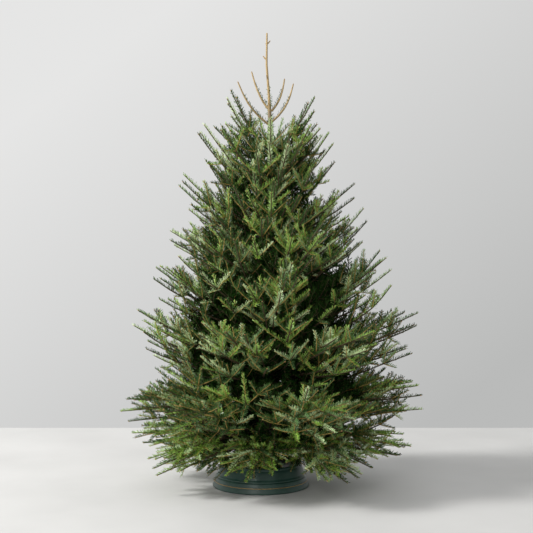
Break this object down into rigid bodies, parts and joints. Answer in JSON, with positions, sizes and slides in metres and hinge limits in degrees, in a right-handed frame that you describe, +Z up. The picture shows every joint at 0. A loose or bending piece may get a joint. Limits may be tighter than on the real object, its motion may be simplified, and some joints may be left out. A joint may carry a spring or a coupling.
{
  "type": "christmas tree",
  "caption": "Cut fir tree with tiered boughs and a bare leader, standing upright in a low round tapered stand with a thin gilt line.",
  "frame": {"origin": "centre of the stand's flat underside, on the floor", "axes": "+Z up along the trunk; -Y towards the front of the tree; +X to its right as seen from the front"},
  "size_m": [1.4508, 1.3182, 2.1752],
  "materials": {
    "bark": "rough grey-brown bark",
    "young_bark": "smooth golden-tan young shoots",
    "needles": "blue-green needles, silvery beneath",
    "stand_green": "satin dark green enamel",
    "clamp_steel": "dark zinc-plated steel"
  },
  "bodies": {
    "root": {"bough_low_1": "bark", "bough_low_2": "bark", "bough_low_3": "bark", "bough_low_4": "bark", "bough_low_5": "bark", "bough_low_6": "bark", "bough_skirt_1": "bark", "bough_skirt_2": "bark", "bough_skirt_3": "bark", "bough_skirt_4": "bark", "bough_skirt_5": "bark", "bough_skirt_6": "bark", "bough_skirt_7": "bark", "crown_arm_1": "young_bark", "crown_arm_2": "young_bark", "crown_arm_3": "young_bark", "crown_arm_4": "young_bark", "foliage_broad_1": "needles", "foliage_broad_2": "needles", "foliage_broad_3": "needles", "foliage_broad_4": "needles", "foliage_broad_5": "needles", "foliage_broad_6": "needles", "foliage_low_1": "needles", "foliage_low_2": "needles", "foliage_low_3": "needles", "foliage_low_4": "needles", "foliage_low_5": "needles", "foliage_low_6": "needles", "foliage_middle_1": "needles", "foliage_middle_2": "needles", "foliage_middle_3": "needles", "foliage_middle_4": "needles", "foliage_middle_5": "needles", "foliage_neck_1": "needles", "foliage_neck_2": "needles", "foliage_neck_3": "needles", "foliage_neck_4": "needles", "foliage_shoulder_1": "needles", "foliage_shoulder_2": "needles", "foliage_shoulder_3": "needles", "foliage_shoulder_4": "needles", "foliage_skirt_1": "needles", "foliage_skirt_2": "needles", "foliage_skirt_3": "needles", "foliage_skirt_4": "needles", "foliage_skirt_5": "needles", "foliage_skirt_6": "needles", "foliage_skirt_7": "needles", "foliage_spire_1": "needles", "foliage_spire_2": "needles", "foliage_spire_3": "needles", "foliage_upper_1": "needles", "foliage_upper_2": "needles", "foliage_upper_3": "needles", "foliage_upper_4": "needles", "foliage_upper_5": "needles", "stand_clamp": "clamp_steel", "stand_shell": "stand_green", "trunk": "bark"}
  },
  "joints": []
}
